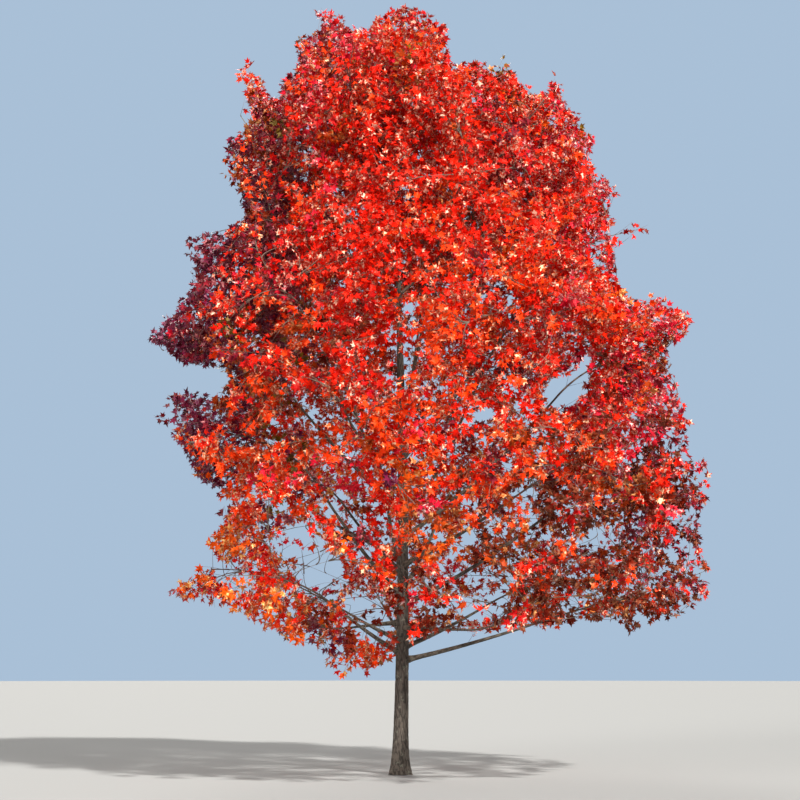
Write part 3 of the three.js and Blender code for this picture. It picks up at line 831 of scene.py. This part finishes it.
# A branch to a place from the wood that is nearest, most of all from wood below that grows its way, and
# what bears it.
def offshoot(end, wood):
    run = end - wood.place
    distance = np.linalg.norm(run, axis=-1)
    turn = OFFSHOOT["turning"] * (distance - np.sum(run * wood.way, axis=-1))
    nearest = np.argmin(distance + turn + OFFSHOOT["downward"] * np.maximum(0, -run[:, 2]))
    root = wood.place[nearest]
    lead = OFFSHOOT["lead"] * np.linalg.norm(end - root)
    curve = np.array((root, root + wood.way[nearest] * lead, end))
    return curve, (wood.branch[nearest], wood.along[nearest])


# The first part of curves, up to shares of their way.
def cut_short(curves, shares):
    start = curves[..., 0, :]
    bend = between(start, curves[..., 1, :], np.asarray(shares)[..., None])
    return np.stack((start, bend, curve_points(curves, shares)), axis=-2)


# A branch as far as the outline lets it go.
def cut_to_outline(curve):
    shares = np.linspace(0, 1, OFFSHOOT["steps"] + 1)
    outside = np.flatnonzero(~may_leaf(curve_points(curve, shares)) & (shares > OFFSHOOT["shortest"]))
    return cut_short(curve, shares[outside[0] - 1] if len(outside) else 1.0)


class Crown:
    def __init__(self, rng):
        self.rng = rng
        self.curves = []
        self.bearers = []
        self.grown = []

    # Adds a branch and those of its shoots that stay in its space and in the light.
    def grow(self, curve, bearer=(-1, 0.0), space=None, at_rim=False):
        curve = cut_to_outline(curve)
        shoots = branch_shoots(curve, len(self.curves), self.rng)
        tips = shoot_points(shoots, 1)
        lit = np.interp(crown_share(tips), (SHADE["from"], SHADE["to"]), (SHADE["least"], 1))
        lit = np.maximum(lit, np.interp(tips[:, 2], SHADE["open_above"], (0, 1)))
        lit = np.maximum(lit, at_rim)
        stays = may_leaf(tips) & (self.rng.random(len(tips)) < lit * share_left(tips))
        if space:
            stays &= space.depth(tips) < SHOOT["limit"]
        if stays.any():
            self.grown.append(rows(shoots, stays))
            self.curves.append(curve)
            self.bearers.append(bearer)


# How far places lie in the fans of sprays, from 0 in a gap to 1.
def fans_at(places):
    ways = unit(places - FANS["root_height"] * UP) * FANS["fineness"]
    waves = np.array([noise.noise(Vector(way)) for way in ways])
    return np.clip(FANS["share"] + FANS["contrast"] * waves, 0, 1)


# The shoots that live: each keeps the others out of its own room.
def thinned(shoots, rng):
    middles = shoot_points(shoots, 0.5)
    room = habit_at(middles[:, 2], HABIT["room"]) * np.interp(fans_at(middles), (0, 1), FANS["room"])
    near = KDTree(len(middles))
    for k, middle in enumerate(middles):
        near.insert(middle, k)
    near.balance()
    lives = np.ones(len(middles), dtype=bool)
    for k in rng.permutation(len(middles)):
        if lives[k]:
            lives[[other for _, other, _ in near.find_range(middles[k], room[k]) if other != k]] = False
    return rows(shoots, lives)


# Branches end where the last of what they bear leaves them, and those that bear nothing are gone.
def pruned(curves, bearers, shoots):
    ends = np.zeros(len(curves))
    np.maximum.at(ends, shoots.branch, shoots.along)
    for k in reversed(range(len(curves))):
        bearer, along = bearers[k]
        if ends[k] > 0 and bearer >= 0:
            ends[bearer] = max(ends[bearer], along)
    lives = ends > 0
    number = np.cumsum(lives) - 1
    return cut_short(curves[lives], ends[lives]), shoots._replace(branch=number[shoots.branch])


# Every branch's curve and every shoot of the whole crown.
def grow_crown(boughs, masses, rng):
    crown = Crown(rng)
    for mass in masses:
        for curve in branch_curves(mass, rng):
            crown.grow(curve, space=mass.space)
    wood = wood_of([mass.stem for mass in masses] + [bough.curve for bough in boughs], crown.curves)
    for place in rim_places(rng):
        crown.grow(*offshoot(place, wood), at_rim=True)
    leafy = shoot_points(all_rows(crown.grown), FILL["leafy_at"])
    for place in crown_places(rng):
        gap = np.linalg.norm(leafy - place, axis=-1).min()
        if gap > habit_at(place[2], FILL["gap"]) and may_leaf(place[None])[0]:
            crown.grow(*offshoot(place, wood))
            leafy = np.concatenate((leafy, place[None]))
    return pruned(np.array(crown.curves), crown.bearers, thinned(all_rows(crown.grown), rng))


# The odds of each tint for a branch that ends at a place, so far in a fan of sprays.
def tint_odds(place, fan):
    odds = np.array([tint.share for tint in TINTS.values()])
    for k, name in enumerate(TINTS):
        for middle, reach, weight in PATCHES[name]:
            off = np.linalg.norm(place - np.array(middle)) / reach
            odds[k] += weight * math.exp(-off * off)
        clump = noise.noise(Vector(place) / CLUMP["size"] + Vector((0, 0, CLUMP["apart"] * k)))
        odds[k] *= math.exp(CLUMP["strength"] * clump)
        # Dark tints are likelier in the gaps between fans: painted shade in the crown's recesses.
        if name in FANS["gap_shade_tints"]:
            odds[k] *= math.exp(FANS["gap_shade_strength"] * (FANS["share"] - fan))
    return odds / odds.sum()


# The tint of every shoot: some follow their branch, and the rest take one that is common about there.
def deal_tints(curves, shoots, rng):
    odds = np.array([tint_odds(curve[2], fan) for curve, fan in zip(curves, fans_at(curves[:, 2]))])
    favourite = np.array([rng.choice(len(TINTS), p=row) for row in odds])
    loyal = rng.random(len(shoots.length)) < CLUMP["loyalty"]
    own = np.array([rng.choice(len(TINTS), p=odds[branch]) for branch in shoots.branch])
    return np.where(loyal, favourite[shoots.branch], own)


# A flat leaf blade, a unit long, in its five-lobed outline.
def leaf_blade():
    bm = bmesh.new()
    places = LEAF_HALF + tuple((-x, y) for x, y in LEAF_HALF[-2:0:-1])
    bmesh.ops.create_circle(bm, cap_ends=True, segments=len(places), radius=1)
    rounding = 0.1  # less than the angle between two corners, so that the stalk's corner comes first
    outline = sorted(
        bm.verts, key=lambda vert: (math.atan2(vert.co.x, -vert.co.y) + rounding) % (2 * math.pi)
    )
    bmesh.ops.connect_verts(bm, verts=[outline[0], outline[len(LEAF_HALF) - 1]])
    for vert, (x, y) in zip(outline, places):
        vert.co = Vector((x, y, 0))
    bmesh.ops.triangulate(bm, faces=bm.faces)
    return bm


# One leaf of the maple as corners and triangles, with its stalk. curl bends the lobes' tips back, and fold
# lifts the two halves.
def leaf_pattern(curl, fold):
    bm = leaf_blade()
    for vert in bm.verts:
        vert.co.z = fold * abs(vert.co.x) - curl * vert.co.length_squared
    bm.verts.index_update()
    width, overlap = LEAF["stalk_width"] / 2, LEAF["stalk_overlap"]
    stalk = [(0, -LEAF["stalk"], -LEAF["stalk_drop"]), (width, overlap, 0), (-width, overlap, 0)]
    corners = [[vert.index for vert in face.verts] for face in bm.faces]
    corners.append([len(bm.verts) + k for k in range(3)])
    places = [tuple(vert.co) for vert in bm.verts] + stalk
    bm.free()
    return np.array(places), np.array(corners)


class Leaves(NamedTuple):
    place: np.ndarray
    midrib: np.ndarray
    facing: np.ndarray
    length: np.ndarray
    shoot: np.ndarray


# Which way is out of the crown: away from the trunk, and more upwards towards the top.
def out_of_crown(places):
    out = places.copy()
    out[:, 2] = np.clip(places[:, 2] - LEAF["level_below"], 0, None) * LEAF["upwards"]
    return unit(out + TINY)


# One leaf for each chosen shoot: it stands at a share of the shoot's way, and its stalk leaves the twig in
# a given way.
def leaves_at(shoots, chosen, share, way, rng):
    root = shoot_points(rows(shoots, chosen), share)
    tilt = LEAF["tilt"] * rng.normal(0, 1, root.shape)
    facing = unit(LEAF["to_sky"] * UP + LEAF["outwards"] * out_of_crown(root) + tilt)
    way = way - LEAF["hang"] * UP
    midrib = unit(way - np.sum(way * facing, axis=-1, keepdims=True) * facing)
    length = LEAF["length"] * (1 + LEAF["scatter"] * rng.uniform(-1, 1, len(root)))
    place = root + midrib * (LEAF["stalk"] * length)[:, None]
    return Leaves(place, midrib, facing, length, chosen)


# The leaves of every shoot: its pairs, each turned a quarter from the last, and the one on its tip.
def grow_leaves(shoots, rng):
    grown = []
    rounds = int(shoots.length.max() * (1 - LEAF["first"]) / LEAF["spacing"]) + 1
    roll = rng.uniform(0, math.pi, len(shoots.length))
    across, beside = square_to(shoots.way)
    for node in range(rounds):
        share = LEAF["first"] + node * LEAF["spacing"] / shoots.length
        chosen = np.flatnonzero(share < 1)
        turn = (roll + node * math.pi / 2)[chosen, None]
        sideways = turned(across[chosen], beside[chosen], turn)
        for side in (1, -1):
            angle = LEAF["angle"] + LEAF["angle_scatter"] * rng.uniform(-1, 1, (len(chosen), 1))
            way = turned(shoots.way[chosen], side * sideways, angle)
            grown.append(leaves_at(shoots, chosen, share[chosen], way, rng))
    grown.append(leaves_at(shoots, np.arange(len(shoots.length)), 1, shoots.way, rng))
    leaves = all_rows(grown)
    tips = leaves.place + leaves.midrib * leaves.length[:, None]
    stays = may_leaf(tips + rng.normal(0, LEAF["rim_scatter"], tips.shape))
    stays &= rng.random(len(tips)) < share_left(tips) ** LEAF["sparing"]
    return rows(leaves, stays)


# All corners and triangles of leaves, each in one of the shapes.
def leaf_arrays(leaves, rng):
    shapes = [leaf_pattern(curl, fold) for curl, fold in LEAF_SHAPES]
    corners = shapes[0][1]
    local = np.stack([places for places, _ in shapes])[rng.integers(0, len(shapes), len(leaves.length))]
    local = local * leaves.length[:, None, None]
    axes = np.stack((np.cross(leaves.midrib, leaves.facing), leaves.midrib, leaves.facing), axis=1)
    places = leaves.place[:, None, :] + local @ axes
    count = places.shape[1]
    return places.reshape(-1, 3), (corners + (np.arange(len(places)) * count)[:, None, None]).reshape(-1, 3)


# The leaves of each tint, joined into pieces of few enough triangles.
def leaf_pieces(leaves, tint_of_shoot, turning_leaf, rng):
    slot_of = {part["node"]: part["material_slot"] for part in frame["record"]["subparts"]}
    tint_of_leaf = tint_of_shoot[leaves.shoot]
    for k, (name, tint) in enumerate(TINTS.items()):
        material = leaf_material(name, tint, turning_leaf)
        nodes = [node for node, slot in slot_of.items() if slot == tint.slot]
        mine = np.flatnonzero(tint_of_leaf == k)
        parts = max(1, math.ceil(LEAF["faces"] * len(mine) / MOST_TRIANGLES))
        for number, chosen in enumerate(np.array_split(mine, parts)):
            piece_name = f"leaves_{name}" + (f"_{number + 1}" if parts > 1 else "")
            mesh = triangle_mesh(piece_name, *leaf_arrays(rows(leaves, chosen), rng))
            new_piece(piece_name, mesh, material, tint.slot, *nodes)


# Wood along many lines of points, which tapers from one root radius, or from one for each line.
def wood_along(points, limb, roots):
    radii = between(roots, limb["tip_radius"], ring_shares(limb))
    return tubes(points, np.broadcast_to(radii, points.shape[:2]), limb["sides"])


def foliage_nodes():
    return [node for node in frame["nodes"] if node.startswith("foliage_")]


# The masses' stems and all branches.
def branch_piece(masses, curves, material):
    stems = np.stack([curve_points(mass.stem, ring_shares(STEM)) for mass in masses])
    stem_roots = np.array([mass.root_radius for mass in masses])[:, None]
    branches = curve_points(curves[:, None], ring_shares(BRANCH))
    wood = joined([wood_along(stems, STEM, stem_roots), wood_along(branches, BRANCH, BRANCH["root_radius"])])
    mesh = triangle_mesh("branches", *wood)
    mesh.shade_smooth()
    new_piece("branches", mesh, material, "bark", *foliage_nodes())


def twig_piece(shoots, material):
    twigs = np.stack([shoot_points(shoots, share) for share in ring_shares(SHOOT)], axis=1)
    mesh = triangle_mesh("twigs", *wood_along(twigs, SHOOT, SHOOT["root_radius"]))
    new_piece("twigs", mesh, material, "bark", *foliage_nodes())


# Materials

# Sets the inputs of a node by constants and links.
def set_inputs(tree, node, inputs):
    for socket, value in inputs.items():
        if isinstance(value, bpy.types.NodeSocket):
            tree.links.new(value, node.inputs[socket])
        else:
            node.inputs[socket].default_value = value


def add_node(tree, kind, inputs=None, **settings):
    node = tree.nodes.new(f"ShaderNode{kind}")
    for key, value in settings.items():
        setattr(node, key, value)
    set_inputs(tree, node, inputs or {})
    return node


def mixed(tree, factor, first, second, blend="MIX"):
    inputs = {0: factor, 6: first, 7: second}
    return add_node(tree, "Mix", inputs, data_type="RGBA", blend_type=blend).outputs[2]


def product(tree, first, second):
    return add_node(tree, "Math", {0: first, 1: second}, operation="MULTIPLY").outputs[0]


def noise_at(tree, place, scale, detail, roughness=0.5):
    inputs = {"Vector": place, "Scale": scale, "Detail": detail, "Roughness": roughness}
    return add_node(tree, "TexNoise", inputs).outputs["Fac"]


# A value brought from one range into another, and kept in it.
def ranged(tree, value, start=0.0, end=1.0, new_start=0.0, new_end=1.0):
    inputs = {"Value": value, "From Min": start, "From Max": end, "To Min": new_start, "To Max": new_end}
    return add_node(tree, "MapRange", inputs).outputs[0]


def bumped(tree, height, strength, distance):
    inputs = {"Height": height, "Strength": strength, "Distance": distance}
    return add_node(tree, "Bump", inputs).outputs[0]


# A node group that numbers and colours go into.
def new_group(name, inputs):
    group = bpy.data.node_groups.new(name, "ShaderNodeTree")
    for socket, value in inputs.items():
        kind = "NodeSocketFloat" if isinstance(value, float) else "NodeSocketColor"
        group.interface.new_socket(socket, in_out="INPUT", socket_type=kind).default_value = value
    return group, group.nodes.new("NodeGroupInput").outputs


# Puts a colour, a normal and numbers out of a node group.
def put_out(group, outputs):
    kinds = {"Color": "NodeSocketColor", "Normal": "NodeSocketVector"}
    for socket in outputs:
        kind = kinds.get(socket, "NodeSocketFloat")
        group.interface.new_socket(socket, in_out="OUTPUT", socket_type=kind)
    set_inputs(group, group.nodes.new("NodeGroupOutput"), outputs)


# Weathering that bark of every age shares: plates lighter than the furrows, mottled, with pale lichen.
def weathered_bark_group():
    group, given = new_group("weathered bark", {
        "Plate": (0.16, 0.13, 0.11, 1), "Furrow": (0.03, 0.024, 0.02, 1), "Lichen": (0.30, 0.31, 0.25, 1),
        "Depth": 0.0, "Grain": 40.0, "Lichen Amount": 0.3,
    })
    place = add_node(group, "TexCoord").outputs["Object"]
    stretched = add_node(group, "Mapping", {"Vector": place, "Scale": (1, 1, 0.22)}).outputs[0]
    fibres = noise_at(group, stretched, given["Grain"], detail=6.0, roughness=0.7)
    mottle = noise_at(group, place, scale=3.5, detail=5.0, roughness=0.6)
    spots = noise_at(group, place, scale=11.0, detail=8.0, roughness=0.75)
    plates = mixed(group, 0.55, given["Plate"], mixed(group, fibres, given["Furrow"], given["Plate"]))
    plates = mixed(group, mottle, plates, mixed(group, 0.5, plates, given["Furrow"]))
    colour = mixed(group, ranged(group, given["Depth"], 0.05, 0.7), plates, given["Furrow"])
    lichen = product(group, ranged(group, spots, 0.56, 0.66), given["Lichen Amount"])
    put_out(group, {
        "Color": mixed(group, lichen, colour, given["Lichen"]),
        "Roughness": ranged(group, fibres, new_start=0.78, new_end=0.95),
        "Normal": bumped(group, fibres, strength=0.5, distance=0.004),
    })
    return group


def new_material(name):
    material = bpy.data.materials.new(name)
    material.use_nodes = True
    return material, material.node_tree, material.node_tree.nodes["Principled BSDF"]


def bark_material(kind, weathered_bark):
    plate, furrow, grain, lichen = BARKS[kind]
    material, tree, shader = new_material(f"{kind} bark")
    depth = add_node(tree, "Attribute", attribute_name="furrow").outputs["Fac"]
    inputs = {
        "Plate": (*plate, 1), "Furrow": (*furrow, 1),
        "Depth": depth, "Grain": grain, "Lichen Amount": lichen,
    }
    surface = add_node(tree, "Group", inputs, node_tree=weathered_bark).outputs
    set_inputs(tree, shader, {
        "Base Color": surface["Color"], "Roughness": surface["Roughness"], "Normal": surface["Normal"],
    })
    return material


# Autumn colouring that every tint shares: each leaf a little lighter, darker or yellower than the next.
def turning_leaf_group():
    group, given = new_group("turning leaf", {"Tint": (0.6, 0.02, 0.01, 1), "Warmth": 0.35, "Shade": 0.6})
    place = add_node(group, "TexCoord").outputs["Object"]
    elsewhere = add_node(group, "Mapping", {"Vector": place, "Location": (7.3, 2.9, 5.1)}).outputs[0]
    leaf_by_leaf = noise_at(group, place, scale=13.0, detail=2.0)
    spray_by_spray = noise_at(group, place, scale=3.1, detail=3.0)
    bloom = noise_at(group, elsewhere, scale=24.0, detail=1.0)
    ripples = noise_at(group, place, scale=48.0, detail=2.0, roughness=0.6)
    flecks = noise_at(group, place, scale=95.0, detail=3.0)
    dark = mixed(group, 1.0, given["Tint"], (0.45, 0.34, 0.34, 1), "MULTIPLY")
    warm = mixed(group, 1.0, given["Tint"], (0.10, 0.03, 0.0, 1), "ADD")
    shade = product(group, ranged(group, leaf_by_leaf, 0.35, 0.68), given["Shade"])
    warmth = product(group, ranged(group, spray_by_spray, 0.4, 0.7), given["Warmth"])
    put_out(group, {
        "Color": mixed(group, shade, mixed(group, warmth, given["Tint"], warm), dark),
        "Roughness": ranged(group, flecks, new_start=0.22, new_end=0.42),
        "Silvery": ranged(group, bloom, 0.50, 0.60),
        "Normal": bumped(group, ripples, strength=0.8, distance=0.012),
    })
    return group


def leaf_material(name, tint, turning_leaf):
    material, tree, shader = new_material(f"leaf {name}")
    surface = add_node(tree, "Group", {"Tint": (*tint.upper, 1)}, node_tree=turning_leaf).outputs
    back = add_node(tree, "NewGeometry").outputs["Backfacing"]
    under = mixed(tree, surface["Silvery"], (*tint.under, 1), (*tint.bloom, 1))
    set_inputs(tree, shader, {
        "Base Color": mixed(tree, back, surface["Color"], under),
        "Roughness": surface["Roughness"], "Normal": surface["Normal"],
        "Specular IOR Level": LEAF_SHINE["level"], "Specular Tint": (*LEAF_SHINE["tint"], 1),
    })
    return material


# Stage

def add_floor():
    bm = bmesh.new()
    bmesh.ops.create_circle(bm, cap_ends=True, segments=FLOOR["sides"], radius=FLOOR["radius"])
    mesh = mesh_from("floor", bm)
    material, tree, shader = new_material("pale floor")
    set_inputs(tree, shader, {"Base Color": (*FLOOR["colour"], 1), "Roughness": FLOOR["roughness"]})
    mesh.materials.append(material)
    new_object("floor", mesh)


def add_lamps():
    for name, (strength, width, elevation, turn) in LAMPS.items():
        sun = bpy.data.lights.new(name, "SUN")
        sun.energy = strength
        sun.color = LAMP_COLOUR
        sun.angle = math.radians(width)
        new_object(name, sun).rotation_euler = (math.radians(90 - elevation), 0, math.radians(turn))


def add_world():
    world = bpy.data.worlds.new("studio")
    bpy.context.scene.world = world
    world.use_nodes = True
    tree = world.node_tree
    tree.nodes.clear()
    direct = add_node(tree, "LightPath").outputs["Is Camera Ray"]
    light, seen = (add_node(tree, "Background", inputs).outputs[0] for inputs in (WALL_LIGHT, WALL))
    both = add_node(tree, "MixShader", {0: direct, 1: light, 2: seen}).outputs[0]
    add_node(tree, "OutputWorld", {"Surface": both})


def add_camera():
    lens = bpy.data.cameras.new("camera")
    lens.lens = VIEWER["lens"]
    lens.sensor_width = VIEWER["sensor"]
    lens.clip_end = VIEWER["farthest"]
    camera = new_object("camera", lens)
    camera.location = (0, -VIEWER["distance"], VIEWER["eye_height"])
    camera.rotation_euler = (math.radians(90 + VIEWER["tilt"]), 0, 0)
    bpy.context.scene.camera = camera


bpy.context.scene.view_settings.view_transform = "Standard"
random = np.random.default_rng(SEED)
noise.seed_set(SEED)  # or else the bark's warp follows the clock
weathered_bark, turning_leaf = weathered_bark_group(), turning_leaf_group()
barks = {kind: bark_material(kind, weathered_bark) for kind in BARKS}

boughs, masses = grow_limbs()
trunk_piece(barks["trunk"])
for bough in boughs:
    bough_piece(bough, barks["bough"])
curves, shoots = grow_crown(boughs, masses, random)
tint_of_shoot = deal_tints(curves, shoots, random)
leaves = grow_leaves(shoots, random)
branch_piece(masses, curves, barks["branch"])
twig_piece(shoots, barks["twig"])
leaf_pieces(leaves, tint_of_shoot, turning_leaf, random)
add_floor()
add_lamps()
add_world()
add_camera()
